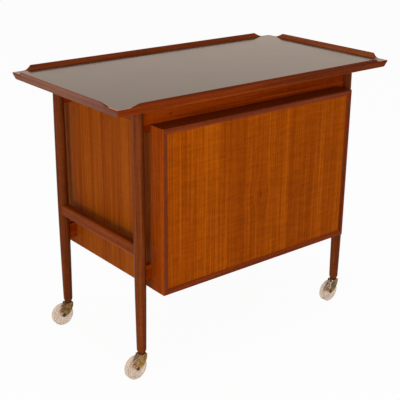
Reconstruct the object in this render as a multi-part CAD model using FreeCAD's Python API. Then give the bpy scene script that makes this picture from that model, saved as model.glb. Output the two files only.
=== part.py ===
import FreeCAD, Part
import math
import os

# Cheese trolley. A mitred tray top stands on four turned legs, and a veneered carcase hangs between
# the legs on four cross rails. A deep drawer fills the carcase, and each leg ends in a swivel caster.
# Millimetres. X runs along the front, the front faces -Y, Z is up and the floor is z = 0.

V = FreeCAD.Vector
origin = V(0, 0, 0)
x_axis = V(1, 0, 0)
y_axis = V(0, 1, 0)
z_axis = V(0, 0, 1)
clear = 1.0                 # how far cutting shapes reach past what they cut
tiny = 0.01                 # tolerance for picking faces and edges

# Tray top
top_length = 822.0          # corner tip to corner tip along X
top_depth = 440.0           # corner tip to corner tip along Y
tip_height = 666.5          # corner tips above the floor
frame_drop = 20.0           # corner tips down to the underside of the frame
lip_rise = 9.5              # raised lip above the corner tips
outer_lean = 37.0           # outer face leans out from the vertical, degrees
lip_edge = 1.6              # flat along the top of the lip
rim_width = 5.0             # flat between the laminate and a corner tip
laminate_bed = 15.0         # width of frame that the laminate is laid on
ledge_gap = 1.0             # ledge under the core panel to the nearest leg
laminate_sink = 0.6         # laminate below the corner tips
laminate_thickness = 1.2
core_thickness = 12.0
scoop_flat = 33.0           # level stretch of the frame beside each corner tip
scoop_run = 20.0            # length over which the lip rises to its full height
scoop_nose = 5.0            # radius of the rounded shoulder of the lip
panel_gap = 0.2             # core panel to frame, each side

# Legs
leg_inset_x = 87.0          # corner tips to the leg axes
leg_inset_y = 55.0
leg_top_radius = 12.0
leg_belly_radius = 13.8
leg_belly_low = 266.0       # the widest stretch runs between these two levels
leg_belly_high = 416.0
leg_shoulder_radius = 11.4
shoulder_height = 9.5
neck_radius = 7.5
neck_length = 1.8

# Rails and stretchers
stretcher_height = 30.0
stretcher_thickness = 22.0
stretcher_level = 304.5     # underside above the floor
stretcher_round = 6.0
end_rail_height = 34.0
end_rail_thickness = 16.0
peg_radius = 6.0            # round tenons on stretchers and end rails
peg_depth = 8.0             # into the leg
rail_thickness = 17.0
top_rail_height = 63.0
low_rail_height = 37.0
low_rail_level = 239.5      # underside above the floor
front_rail_set = 1.0        # face of the front rails behind the leg axes
tongue_thickness = 7.0      # flat tenons on the cross rails
tongue_shoulder = 6.0
tongue_inset = 1.0          # front tenons behind the face of the rail
tongue_stop = 1.0           # tenon end to the side of the round tenon that it meets
cope_depth = 9.0            # rail ends wrap this far round a leg
joint_gap = 0.15            # glue line between wood joints

# Carcase
side_inset = 31.5           # leg axes to the outside of the sides
carcase_overhang = 47.4     # rear edge of the sides behind the leg axes
carcase_level = 216.0       # underside above the floor
side_thickness = 16.0
bottom_thickness = 14.0
bottom_front_inset = 4.0
back_thickness = 9.0
back_inset = 3.4
housing_depth = 5.0         # grooves in the sides
runner_height = 18.0
runner_thickness = 7.5
runner_level = 436.5        # middle of the runner above the floor
runner_front_inset = 24.0
runner_rear_gap = 6.5       # to the rear rails
runner_nose = 3.5           # chamfer at the front end

# Drawer
front_depth = 48.0
front_level = 215.5         # underside of the drawer front
front_top_gap = 41.3        # drawer front to the underside of the tray
front_board = 13.0
front_flat = 4.0            # flat strip round the face of the lippings
front_splay = 3.0           # inside it the face slopes back by this much
front_panel_thickness = 9.0
front_panel_recess = 4.0
front_groove = 4.0
backing_thickness = 9.0
closing_gap = 0.4           # drawer front to rails when shut
drawer_side_gap = 1.0
drawer_side_thickness = 14.0
drawer_level = 283.5        # underside of the drawer sides
drawer_top_drop = 38.7      # drawer sides below the top of the front
drawer_rear_gap = 16.9      # to the rear rails
drawer_back_thickness = 12.0
drawer_back_inset = 4.0
drawer_back_drop = 10.0
drawer_back_housing = 4.0
drawer_bottom_thickness = 6.0
drawer_bottom_lift = 8.0
runner_clearance = 0.3
runner_groove_play = 0.5
finger_count = 9

# Casters
wheel_radius = 28.5
wheel_width = 16.0
rim_band = 6.5              # thick band under the tread
web_thickness = 9.0
hub_radius = 9.0
bush_radius = 5.5
bush_length = 16.6
axle_radius = 2.5
axle_clearance = 0.05
fork_clearance = 0.3        # bush to fork, each side
fork_thickness = 1.4
fork_foot_radius = 5.2
fork_foot_turn = 75.0       # where the front edge meets the foot, degrees below the level
fork_bulge = 8.5            # of the front edge of the fork
rivet_radius = 4.2
rivet_height = 1.5
trail = 19.0
crown_front = 9.0
crown_rear = 9.5
crown_corner = 4.0
crown_thickness = 1.6
crown_level = 59.0          # top of the fork above the floor
swivel_gap = 0.3
flange_radius = 8.6
flange_thickness = 1.6
pin_radius = 3.0
pin_length = 26.0
pin_clearance = 0.075
sleeve_radius = 5.0
sleeve_length = 30.0
sleeve_gap = 0.1
caster_turns = {"front_left": 5.0, "front_right": 3.0, "rear_left": 0.0, "rear_right": 8.0}

# Screws
screw_radius = 1.9
screw_head_radius = 3.8
screw_head_height = 2.2
screw_gap = 0.1
top_screw_length = 30.0
top_screw_stop = 2.0        # screw tips to the laminate
top_screw_inset = 75.0      # from the leg axes
runner_screw_length = 16.0
runner_screw_end = 30.0
drawer_screw_length = 17.0
drawer_screw_rise = 60.0    # from the top and bottom edges
drawer_screw_inset = 81.5   # from the inside of the drawer sides

# Levels and faces that follow
z_under = tip_height - frame_drop
z_lip = tip_height + lip_rise
z_laminate = tip_height - laminate_sink
z_core_top = z_laminate - laminate_thickness
z_core = z_core_top - core_thickness
z_foot = crown_level + swivel_gap + flange_thickness
leg_x = top_length / 2 - leg_inset_x
leg_y = top_depth / 2 - leg_inset_y
y_ledge = leg_y + leg_top_radius + ledge_gap
ledge_width = top_depth / 2 - rim_width - laminate_bed - y_ledge
side_out = leg_x - side_inset
side_in = side_out - side_thickness
carcase_rear = leg_y + carcase_overhang
front_rail_face = leg_y - front_rail_set
rear_rail_face = leg_y - rail_thickness / 2
y_closed = -front_rail_face - closing_gap
y_face = y_closed - front_depth
box_out = side_in - drawer_side_gap
box_in = box_out - drawer_side_thickness
y_rear = rear_rail_face - drawer_rear_gap
z_front_top = z_under - front_top_gap
front_height = z_front_top - front_level
z_box_top = z_front_top - drawer_top_drop
drawer_side_height = z_box_top - drawer_level
z_top_screw = z_core_top - top_screw_stop - top_screw_length


def box(x0, x1, y0, y1, z0, z1):
    return Part.makeBox(x1 - x0, y1 - y0, z1 - z0, V(x0, y0, z0))


def prism(points, direction):
    outline = Part.makePolygon(points + points[:1])
    return Part.Face(outline).extrude(direction)


def mirror_x(shape):
    return shape.mirror(origin, x_axis)


def placed(shape, axis, degrees, position):
    copy = shape.copy()
    copy.rotate(origin, axis, degrees)
    copy.translate(position)
    return copy


def turned(shape, degrees, x=0.0, y=0.0):
    return placed(shape, z_axis, degrees, V(x, y, 0))


def lathe(points, axis):
    """A solid of revolution from the corners of one half of its section."""
    return Part.Face(Part.makePolygon(points + points[:1])).revolve(origin, axis, 360)


def edges_along(shape, axis):
    return [edge for edge in shape.Edges if edge.tangentAt(edge.FirstParameter).cross(axis).Length < tiny]


def save(name, shape):
    shape.exportStep("parts/" + name + ".step")


# Tray top

def frame_board(half_length, half_depth):
    """One mitred board at the -Y side: a leaning section with a raised lip and a ledge."""
    lean = math.tan(math.radians(outer_lean))
    bed_end = -rim_width - laminate_bed
    ledge_end = bed_end - ledge_width
    section = [
        (-frame_drop * lean, z_under),
        (lip_rise * lean, z_lip),
        (lip_rise * lean - lip_edge, z_lip),
        (-rim_width, tip_height),
        (-rim_width, z_core_top),
        (bed_end, z_core_top),
        (bed_end, z_core),
        (ledge_end, z_core),
        (ledge_end, z_under),
    ]
    reach = half_length + 2 * lip_rise
    points = [V(-reach, -half_depth - out, z) for out, z in section]
    board = prism(points, V(2 * reach, 0, 0))
    inner = ledge_end - clear
    outer = 2 * lip_rise
    z = z_under - clear
    wedge = [
        V(-half_length - inner, -half_depth - inner, z),
        V(half_length + inner, -half_depth - inner, z),
        V(half_length + outer, -half_depth - outer, z),
        V(-half_length - outer, -half_depth - outer, z),
    ]
    board = board.common(prism(wedge, V(0, 0, z_lip - z_under + 2 * clear)))
    scoop = corner_scoop(half_length, half_depth)
    return board.cut(scoop).cut(mirror_x(scoop))


def corner_scoop(half_length, half_depth):
    """What is cut off the lip beside one corner: a long hollow that ends in a small round nose."""
    x_foot = half_length - scoop_flat
    x_top = x_foot - scoop_run
    both = (lip_rise ** 2 + scoop_run ** 2) / (2 * lip_rise)
    hollow = both - scoop_nose
    swing = 2 * math.atan(lip_rise / scoop_run)
    across = rim_width + laminate_bed
    y = -half_depth + across

    def on_nose(angle):
        return V(x_top + scoop_nose * math.sin(angle), y, z_lip - scoop_nose * (1 - math.cos(angle)))

    def on_hollow(angle):
        return V(x_foot - hollow * math.sin(angle), y, tip_height + hollow * (1 - math.cos(angle)))

    far = half_length + 2 * lip_rise
    nose = Part.Arc(on_nose(0), on_nose(swing / 2), on_nose(swing)).toShape()
    cove = Part.Arc(on_nose(swing), on_hollow(swing / 2), on_hollow(0)).toShape()
    rest = Part.makePolygon([
        on_hollow(0),
        V(far, y, tip_height),
        V(far, y, z_lip + lip_rise),
        V(x_top, y, z_lip + lip_rise),
        on_nose(0),
    ])
    outline = Part.Wire([nose, cove] + rest.Edges)
    return Part.Face(outline).extrude(V(0, -across - 2 * lip_rise, 0))


def make_tray():
    half_length = top_length / 2
    half_depth = top_depth / 2
    long_board = frame_board(half_length, half_depth)
    short_board = frame_board(half_depth, half_length)
    save("tray_rail_front", long_board)
    save("tray_rail_rear", turned(long_board, 180))
    save("tray_rail_right", turned(short_board, 90))
    save("tray_rail_left", turned(short_board, -90))
    x = half_length - rim_width - laminate_bed - panel_gap
    y = half_depth - rim_width - laminate_bed - panel_gap
    core = box(-x, x, -y, y, z_core, z_core_top)
    save("tray_core", core.cut(top_screw_holes()))
    x += laminate_bed
    y += laminate_bed
    save("tray_laminate", box(-x, x, -y, y, z_core_top, z_laminate))


# Screws

def screw(length, extra=0.0, sink=0.0):
    """A pan head below z = 0 and a shank along +Z, or with extra the hole that they need."""
    shank = Part.makeCylinder(screw_radius + extra, length + extra)
    foot = screw_head_height + sink
    return shank.fuse(Part.makeCylinder(screw_head_radius + extra, foot, V(0, 0, -foot)))


def top_screw_places():
    spread = leg_y - top_screw_inset
    return [V(x, y, z_top_screw) for x in (-leg_x, leg_x) for y in (-spread, spread)]


def top_screw_holes():
    hole = screw(top_screw_length, screw_gap, z_top_screw - z_core + end_rail_height)
    return Part.makeCompound([placed(hole, z_axis, 0, place) for place in top_screw_places()])


def runner_span():
    return -front_rail_face + runner_front_inset, rear_rail_face - runner_rear_gap


def runner_screw_places(sign):
    front, rear = runner_span()
    ys = (front + runner_screw_end, rear - runner_screw_end)
    x = side_in - runner_thickness + screw_head_height
    return [V(sign * x, y, runner_level) for y in ys]


def runner_screw_set(shape):
    left = [placed(shape, y_axis, -90, place) for place in runner_screw_places(-1)]
    right = [placed(shape, y_axis, 90, place) for place in runner_screw_places(1)]
    return Part.makeCompound(left + right)


def drawer_screw_set(shape):
    seat = y_closed + drawer_side_thickness - screw_head_height
    column = box_in - drawer_screw_inset
    rows = (drawer_level + drawer_screw_rise, z_box_top - drawer_screw_rise)
    places = [V(x, seat, z) for x in (-column, column) for z in rows]
    return Part.makeCompound([placed(shape, x_axis, 90, place) for place in places])


def make_screws():
    top = screw(top_screw_length)
    tops = [placed(top, z_axis, 0, place) for place in top_screw_places()]
    save("top_screws", Part.makeCompound(tops))
    save("runner_screws", runner_screw_set(screw(runner_screw_length)))
    save("drawer_screws", drawer_screw_set(screw(drawer_screw_length)))


# Leg frames

def corner_place(corner):
    x = leg_x if corner.endswith("right") else -leg_x
    y = leg_y if corner.startswith("rear") else -leg_y
    return x, y


def leg_blank(extra=0.0):
    """A turned leg on the Z axis: a straight belly, a long taper each way, a shoulder and a neck."""
    z_neck = z_foot + neck_length
    z_shoulder = z_neck + shoulder_height
    side = [(neck_radius, z_foot), (neck_radius, z_neck), (leg_shoulder_radius, z_shoulder),
            (leg_belly_radius, leg_belly_low), (leg_belly_radius, leg_belly_high),
            (leg_top_radius, z_core)]
    points = [V(0, 0, z_core), V(0, 0, z_foot)] + [V(radius + extra, 0, z) for radius, z in side]
    return lathe(points, z_axis)


def end_bar(section_face, z_middle):
    """A bar along Y between two legs of one side, coped to them, with a round tenon at each end."""
    length = 2 * leg_y - leg_top_radius
    bar = section_face.extrude(V(0, length, 0))
    bar.translate(V(0, -length / 2, 0))
    for y in (-leg_y, leg_y):
        bar = bar.cut(turned(leg_blank(joint_gap), 0, 0, y))
    reach = leg_y - leg_belly_radius + peg_depth
    return bar.fuse(Part.makeCylinder(peg_radius, 2 * reach, V(0, -reach, z_middle), y_axis))


def stretcher_section():
    half = stretcher_thickness / 2
    solid = box(-half, half, 0, 1, stretcher_level, stretcher_level + stretcher_height)
    rounded = solid.makeFillet(stretcher_round, edges_along(solid, y_axis))
    return next(face for face in rounded.Faces if face.CenterOfMass.y < tiny)


def end_rail_section():
    half = end_rail_thickness / 2
    z = z_core - end_rail_height
    points = [V(-half, 0, z), V(half, 0, z), V(half, 0, z_core), V(-half, 0, z_core)]
    return Part.Face(Part.makePolygon(points + points[:1]))


def side_pegs(extra):
    reach = leg_y - leg_belly_radius + peg_depth + extra
    levels = (stretcher_level + stretcher_height / 2, z_core - end_rail_height / 2)
    radius = peg_radius + extra
    return Part.makeCompound([Part.makeCylinder(radius, 2 * reach, V(0, -reach, z), y_axis) for z in levels])


def cross_rails():
    """Name, front face, rear face, underside and top of each cross rail, with its tenon's faces."""
    front = -front_rail_face
    rear = rear_rail_face
    low = (low_rail_level, low_rail_level + low_rail_height)
    top = (z_core - top_rail_height, z_core)
    front_tongue = (front + tongue_inset, front + tongue_inset + tongue_thickness)
    rear_tongue = (leg_y - tongue_thickness / 2, leg_y + tongue_thickness / 2)
    return {
        "cross_rail_top_front": (front, front + rail_thickness, top, front_tongue),
        "cross_rail_low_front": (front, front + rail_thickness, low, front_tongue),
        "cross_rail_top_rear": (rear, rear + rail_thickness, top, rear_tongue),
        "cross_rail_low_rear": (rear, rear + rail_thickness, low, rear_tongue),
    }


def tongue_box(levels, faces, extra=0.0):
    reach = leg_x - peg_radius - tongue_stop + extra
    bottom = levels[0] + tongue_shoulder - extra
    top = levels[1] - tongue_shoulder + extra
    return box(-reach, reach, faces[0] - extra, faces[1] + extra, bottom, top)


def make_leg_frames():
    tongues = [tongue_box(levels, faces, joint_gap) for _, _, levels, faces in cross_rails().values()]
    tongues = Part.makeCompound(tongues)
    pegs = side_pegs(joint_gap)
    bore = Part.makeCylinder(sleeve_radius + sleeve_gap, sleeve_length + sleeve_gap, V(0, 0, z_foot))
    blank = leg_blank().cut(bore)
    for corner in caster_turns:
        x, y = corner_place(corner)
        leg = turned(blank, 0, x, y)
        save("leg_" + corner, leg.cut(turned(pegs, 0, x)).cut(tongues))
    stretcher = end_bar(stretcher_section(), stretcher_level + stretcher_height / 2)
    end_rail = end_bar(end_rail_section(), z_core - end_rail_height / 2)
    for name, x in (("left", -leg_x), ("right", leg_x)):
        save("stretcher_" + name, turned(stretcher, 0, x))
        save("end_rail_" + name, turned(end_rail, 0, x).cut(top_screw_holes()))
    fat_leg = leg_blank(joint_gap)
    for name, (y0, y1, levels, faces) in cross_rails().items():
        reach = leg_x - cope_depth
        rail = box(-reach, reach, y0, y1, levels[0], levels[1])
        y = math.copysign(leg_y, y0)
        for x in (-leg_x, leg_x):
            rail = rail.cut(turned(fat_leg, 0, x, y))
        save(name, rail.fuse(tongue_box(levels, faces)))


def side_notches(extra):
    """The room that the four cross rails take out of a carcase side."""
    notches = []
    for y0, y1, levels, _ in cross_rails().values():
        front = y0 - clear if y0 < 0 else y0 - extra
        top = levels[1] + clear if levels[1] >= z_core else levels[1] + extra
        notches.append(box(0, leg_x, front, y1 + extra, levels[0] - extra, top))
    return Part.makeCompound(notches)


def make_carcase():
    z_bottom = low_rail_level - bottom_thickness
    y_back = carcase_rear - back_inset - back_thickness
    housed = side_in + housing_depth
    side = box(side_in, side_out, -front_rail_face, carcase_rear, carcase_level, z_core)
    side = side.cut(side_notches(joint_gap))
    side = side.cut(box(0, leg_x, y_ledge - joint_gap, carcase_rear, z_under, z_core))
    y_bottom = -front_rail_face + bottom_front_inset
    groove = box(side_in, housed, y_bottom - joint_gap, y_back + back_thickness + joint_gap,
                 z_bottom - joint_gap, low_rail_level + joint_gap)
    back_groove = box(side_in, housed, y_back - joint_gap, y_back + back_thickness + joint_gap,
                      z_bottom - joint_gap, z_core)
    side = side.cut(groove).cut(back_groove)
    screws = runner_screw_set(screw(runner_screw_length, screw_gap))
    save("side_panel_right", side.cut(screws))
    save("side_panel_left", mirror_x(side).cut(screws))
    tongue = housed - joint_gap
    save("bottom_panel", box(-tongue, tongue, y_bottom, y_back - joint_gap, z_bottom, low_rail_level))
    save("back_panel", box(-tongue, tongue, y_back, y_back + back_thickness, z_bottom, z_under))
    y0, y1 = runner_span()
    runner = box(side_in - runner_thickness, side_in, y0, y1,
                 runner_level - runner_height / 2, runner_level + runner_height / 2)
    front_edges = [edge for edge in edges_along(runner, z_axis) if edge.CenterOfMass.y < y0 + tiny]
    nose = [edge for edge in front_edges if edge.CenterOfMass.x < side_in - tiny]
    runner = runner.makeChamfer(runner_nose, nose)
    save("runner_right", runner.cut(screws))
    save("runner_left", mirror_x(runner).cut(screws))


# Drawer

def front_lip(half_length, half_height):
    """The top board of the drawer front: mitred, splayed, grooved for the panel, rebated for the backing."""
    board = box(-half_length, half_length, y_face, y_closed, half_height - front_board, half_height)
    inner = front_board + clear
    y = y_face - clear
    wedge = [
        V(-half_length, y, half_height),
        V(half_length, y, half_height),
        V(half_length - inner, y, half_height - inner),
        V(-half_length + inner, y, half_height - inner),
    ]
    board = board.common(prism(wedge, V(0, front_depth + 2 * clear, 0)))
    y_panel = y_face + front_panel_recess
    low = half_height - front_board - clear
    high = half_height - front_board + front_groove
    groove = box(-half_length, half_length, y_panel - joint_gap, y_panel + front_panel_thickness + joint_gap,
                 low, high)
    rebate = box(-half_length, half_length, y_closed - backing_thickness - joint_gap, y_closed, low, high)
    z_flat = half_height - front_flat
    z_inner = half_height - front_board
    splay = [
        V(-half_length, y, z_flat),
        V(-half_length, y_face, z_flat),
        V(-half_length, y_face + front_splay, z_inner),
        V(-half_length, y_face + front_splay, z_inner - clear),
        V(-half_length, y, z_inner - clear),
    ]
    return board.cut(groove).cut(rebate).cut(prism(splay, V(2 * half_length, 0, 0)))


def make_drawer_front():
    half_width = side_out
    half_height = front_height / 2
    middle = V(0, 0, front_level + half_height)
    long_lip = front_lip(half_width, half_height)
    short_lip = front_lip(half_height, half_width)
    save("drawer_lip_top", placed(long_lip, y_axis, 0, middle))
    save("drawer_lip_bottom", placed(long_lip, y_axis, 180, middle))
    save("drawer_lip_right", placed(short_lip, y_axis, 90, middle))
    save("drawer_lip_left", placed(short_lip, y_axis, -90, middle))
    inset = front_board - front_groove + joint_gap
    x = half_width - inset
    z0 = front_level + inset
    z1 = front_level + front_height - inset
    y_panel = y_face + front_panel_recess
    save("drawer_front_panel", box(-x, x, y_panel, y_panel + front_panel_thickness, z0, z1))
    backing = box(-x, x, y_closed - backing_thickness, y_closed, z0, z1)
    save("drawer_front_backing", backing.cut(drawer_screw_set(screw(drawer_screw_length, screw_gap))))


def corner_fingers(x0, x1, y0, y1, first):
    """Every second block of the finger joint at one drawer corner, starting from the block first."""
    step = drawer_side_height / finger_count
    blocks = []
    for number in range(first, finger_count, 2):
        z = drawer_level + number * step
        blocks.append(box(x0, x1, y0, y1, z, z + step))
    return Part.makeCompound(blocks)


def make_drawer_box():
    y_inside = y_closed + drawer_side_thickness
    z_floor = drawer_level + drawer_bottom_lift
    z_over = z_floor + drawer_bottom_thickness
    y_back = y_rear - drawer_back_inset - drawer_back_thickness
    half_groove = runner_height / 2 + runner_clearance
    housed = box_in + housing_depth

    side = box(box_in, box_out, y_closed, y_rear, drawer_level, z_box_top)
    run = box(side_in - runner_thickness - runner_groove_play, box_out,
              -front_rail_face + runner_front_inset - runner_groove_play, y_rear,
              runner_level - half_groove, runner_level + half_groove)
    y_groove = y_inside - housing_depth
    floor_groove = box(box_in, housed, y_groove, y_rear, z_floor - joint_gap, z_over + joint_gap)
    housing = box(box_in, box_in + drawer_back_housing, y_back - joint_gap,
                  y_back + drawer_back_thickness + joint_gap, z_over, z_box_top)
    side = side.cut(run).cut(floor_groove).cut(housing)
    side = side.cut(corner_fingers(box_in, box_out, y_closed, y_inside, 1))
    save("drawer_side_right", side)
    save("drawer_side_left", mirror_x(side))

    front = box(-box_out, box_out, y_closed, y_inside, drawer_level, z_box_top)
    corner = corner_fingers(box_in, box_out, y_closed, y_inside, 0)
    front = front.cut(corner).cut(mirror_x(corner))
    front = front.cut(box(-box_in, box_in, y_groove, y_inside, z_floor - joint_gap, z_over + joint_gap))
    save("drawer_box_front", front.cut(drawer_screw_set(screw(drawer_screw_length, screw_gap))))

    x_back = box_in + drawer_back_housing - joint_gap
    save("drawer_back", box(-x_back, x_back, y_back, y_back + drawer_back_thickness,
                            z_over + joint_gap, z_box_top - drawer_back_drop))
    x_floor = housed - joint_gap
    save("drawer_bottom", box(-x_floor, x_floor, y_groove + joint_gap, y_rear, z_floor, z_over))


# Casters

def caster_sleeve():
    """The flanged tube that is driven into the foot of a leg."""
    flange = Part.makeCylinder(flange_radius, flange_thickness, V(0, 0, z_foot - flange_thickness))
    tube = Part.makeCylinder(sleeve_radius, sleeve_length, V(0, 0, z_foot))
    bore = Part.makeCylinder(pin_radius + pin_clearance, pin_length + clear, V(0, 0, crown_level))
    return flange.fuse(tube).cut(bore)


def tangent_point(px, pz, cx, cz, radius, side):
    """Where a line from a point touches a circle."""
    dx = px - cx
    dz = pz - cz
    angle = math.atan2(dz, dx) + side * math.acos(radius / math.hypot(dx, dz))
    return V(cx + radius * math.cos(angle), 0, cz + radius * math.sin(angle))


def fork_cheek(y):
    """One teardrop cheek: wide at the crown, round at the axle, with a bulging front edge."""
    turn = math.radians(fork_foot_turn)
    front = V(-trail + fork_foot_radius * math.cos(turn), 0, wheel_radius - fork_foot_radius * math.sin(turn))
    rear = tangent_point(-crown_rear, crown_level, -trail, wheel_radius, fork_foot_radius, 1)
    foot = V(-trail - fork_foot_radius * math.cos(turn), 0, wheel_radius - fork_foot_radius * math.sin(turn))
    front_top = V(crown_front, 0, crown_level)
    rear_top = V(-crown_rear, 0, crown_level)
    along = (front - front_top).normalize()
    middle = (front + front_top) * 0.5 + V(-along.z, 0, along.x) * fork_bulge
    edges = [
        Part.makeLine(rear, rear_top),
        Part.makeLine(rear_top, front_top),
        Part.Arc(front_top, middle, front).toShape(),
        Part.Arc(front, foot, rear).toShape(),
    ]
    cheek = Part.Face(Part.Wire(edges)).extrude(V(0, fork_thickness, 0))
    cheek.translate(V(0, y, 0))
    return cheek


def caster_fork():
    inside = bush_length / 2 + fork_clearance
    outside = inside + fork_thickness
    crown = box(-crown_rear, crown_front, -outside, outside, crown_level - crown_thickness, crown_level)
    crown = crown.makeFillet(crown_corner, edges_along(crown, z_axis))
    fork = crown.fuse(fork_cheek(inside)).fuse(fork_cheek(-outside))
    fork = fork.fuse(Part.makeCylinder(pin_radius, pin_length, V(0, 0, crown_level)))
    start = V(-trail, -outside - clear, wheel_radius)
    return fork.cut(Part.makeCylinder(axle_radius + axle_clearance, 2 * (outside + clear), start, y_axis))


def caster_axle():
    """A rivet through the fork: a plain shank and a flat head outside each cheek."""
    outside = bush_length / 2 + fork_clearance + fork_thickness
    half = [(0, outside + rivet_height), (rivet_radius, outside + rivet_height), (rivet_radius, outside),
            (axle_radius, outside)]
    return lathe([V(r, y, 0) for r, y in half] + [V(r, -y, 0) for r, y in reversed(half)], y_axis)


def caster_wheel():
    """A moulded wheel: a thick band under the tread, a thinner web and a hub round the bush."""
    half = wheel_width / 2
    web = web_thickness / 2
    band = wheel_radius - rim_band
    side = [(wheel_radius, half), (band, half), (band, web), (hub_radius, web), (hub_radius, half),
            (bush_radius + axle_clearance, half)]
    return lathe([V(r, y, 0) for r, y in side] + [V(r, -y, 0) for r, y in reversed(side)], y_axis)


def wheel_bush():
    end = V(0, -bush_length / 2, 0)
    bore = Part.makeCylinder(axle_radius + axle_clearance, bush_length, end, y_axis)
    return Part.makeCylinder(bush_radius, bush_length, end, y_axis).cut(bore)


def make_casters():
    at_axle = V(-trail, 0, wheel_radius)
    pieces = {"caster_sleeve": caster_sleeve(), "caster_fork": caster_fork()}
    on_axle = {"caster_axle": caster_axle(), "wheel": caster_wheel(), "wheel_bush": wheel_bush()}
    for name, shape in on_axle.items():
        pieces[name] = placed(shape, z_axis, 0, at_axle)
    for corner, degrees in caster_turns.items():
        x, y = corner_place(corner)
        for name, shape in pieces.items():
            save(name + "_" + corner, turned(shape, degrees, x, y))


os.makedirs("parts", exist_ok=True)
make_tray()
make_screws()
make_leg_frames()
make_carcase()
make_drawer_front()
make_drawer_box()
make_casters()
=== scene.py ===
import math

import bmesh
import bpy
import numpy as np
from mathutils import Matrix, Vector


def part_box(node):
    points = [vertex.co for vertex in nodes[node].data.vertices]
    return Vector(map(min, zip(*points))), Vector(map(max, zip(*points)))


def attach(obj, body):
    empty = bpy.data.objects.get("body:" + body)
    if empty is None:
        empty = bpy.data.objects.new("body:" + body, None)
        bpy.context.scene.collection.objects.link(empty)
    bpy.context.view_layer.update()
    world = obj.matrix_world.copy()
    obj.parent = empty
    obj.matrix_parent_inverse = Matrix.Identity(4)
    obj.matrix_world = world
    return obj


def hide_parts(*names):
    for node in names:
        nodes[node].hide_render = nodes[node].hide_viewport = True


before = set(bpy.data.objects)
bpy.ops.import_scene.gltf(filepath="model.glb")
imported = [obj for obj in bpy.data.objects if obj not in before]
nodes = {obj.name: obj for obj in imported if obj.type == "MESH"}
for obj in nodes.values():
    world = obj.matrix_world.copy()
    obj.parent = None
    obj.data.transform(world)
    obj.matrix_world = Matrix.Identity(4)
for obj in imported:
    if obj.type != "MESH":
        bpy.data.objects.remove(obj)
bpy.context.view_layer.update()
mm = 0.001
corners = ("front_left", "front_right", "rear_left", "rear_right")
print("frame loaded:", len(nodes), "nodes")


# colours are written as sRGB hex and used as linear values: a straight foot, then a power curve
def linear(hexColour):
    channels = np.array([int(hexColour[i:i + 2], 16) for i in (1, 3, 5)]) / 255
    foot = channels / 12.92
    curve = ((channels + 0.055) / 1.055) ** 2.4
    return (*np.where(channels <= 0.04045, foot, curve).tolist(), 1.0)


# adds one node: inputs are values or sockets to link, attributes are the node's own settings, and
# stops are a ramp's places with a hex colour or a grey. A Mix node's colours are inputs 6 and 7
def addNode(tree, kind, inputs=None, stops=None, **attributes):
    node = tree.nodes.new(kind)
    for name, value in attributes.items():
        setattr(node, name, value)
    for name, value in (inputs or {}).items():
        if isinstance(value, bpy.types.NodeSocket):
            tree.links.new(value, node.inputs[name])
        else:
            node.inputs[name].default_value = value
    if stops:
        ramp = node.color_ramp
        while len(ramp.elements) < len(stops):
            ramp.elements.new(0.5)
        for element, (position, colour) in zip(ramp.elements, stops):
            element.position = position
            element.color = linear(colour) if isinstance(colour, str) else (colour, colour, colour, 1)
    return node


# an empty material and its node tree
def newMaterial(name):
    material = bpy.data.materials.new(name)
    material.use_nodes = True
    material.node_tree.nodes.clear()
    return material, material.node_tree


# turns that lay the grain, which runs along the pattern's Z, along each world axis
grainTurn = {"Z": (0, 0, 0), "X": (0, math.radians(90), 0), "Y": (math.radians(90), 0, 0)}

# light and dark tones, and figure sizes in mm across and along the grain. Real pores are less
# than 0.4 mm wide: they are drawn 1.1 mm wide, which is as fine as still shows.
# a falloff along a board is painted shade, the light falling away along it: from x, to x, factor before
# and factor after
teakVeneer = {"dark": "#873901", "mid": "#984402", "light": "#aa5306", "pore": "#5a2200",
              "bands": (46, 1400), "figure": (5.5, 460), "lines": (1.7, 300), "pores": (1.1, 22),
              "ripple": (38, 6.5), "drift": 0.75, "fine": 0.7, "rippleDepth": 0.1,
              "poreDepth": 0.3, "roughness": 0.5, "gloss": 0.05, "ior": 1.25}
teakSide = dict(teakVeneer, dark="#7c3202", mid="#8a4006", light="#994c0c", bands=(36, 1400),
                drift=0.5, rippleDepth=0.04, gloss=0.07)
teakSolid = dict(teakVeneer, dark="#5c2003", mid="#722d07", light="#843a0e", pore="#3c1203",
                 figure=(7, 300), poreDepth=0.35, rippleDepth=0.06, roughness=0.42, gloss=0.1)
teakRed = dict(teakSolid, dark="#6d2100", mid="#852d01", light="#983c03", pore="#3a1002", gloss=0.05)
teakLipping = dict(teakSolid, dark="#6c2701", mid="#823303", light="#954108", pore="#481600",
                   gloss=0.05)
teakLippingRed = dict(teakLipping, dark="#541a02", mid="#6a2605", light="#7c310a", pore="#2f0c01",
                      gloss=0.2)
# two copies of the lipping's wood for its splays: a darker one that is painted shade, and a lighter one
# that is painted light
teakLippingPaintedShade = dict(teakLipping, dark="#361003", mid="#471604", light="#572008", pore="#200800")
teakLippingPaintedLight = dict(teakLipping, dark="#8a3504", mid="#a04406", light="#b2520c")
teakLeg = dict(teakSolid, dark="#4f1e06", mid="#622a0b", light="#733713", pore="#341303",
               figure=(6, 260), roughness=0.34, gloss=0.12)
teakBar = dict(teakLeg, dark="#5c2404", mid="#722f06", light="#853a0d", gloss=0.09)
paleBeech = {"dark": "#b98a58", "mid": "#caa06c", "light": "#d8b482", "pore": "#a07444",
             "bands": (60, 900), "figure": (14, 300), "lines": (3, 120), "pores": (1.2, 9),
             "ripple": (30, 12), "drift": 0.35, "fine": 0.4, "rippleDepth": 0.02,
             "poreDepth": 0.35, "roughness": 0.55, "gloss": 0.4, "ior": 1.4}

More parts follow.
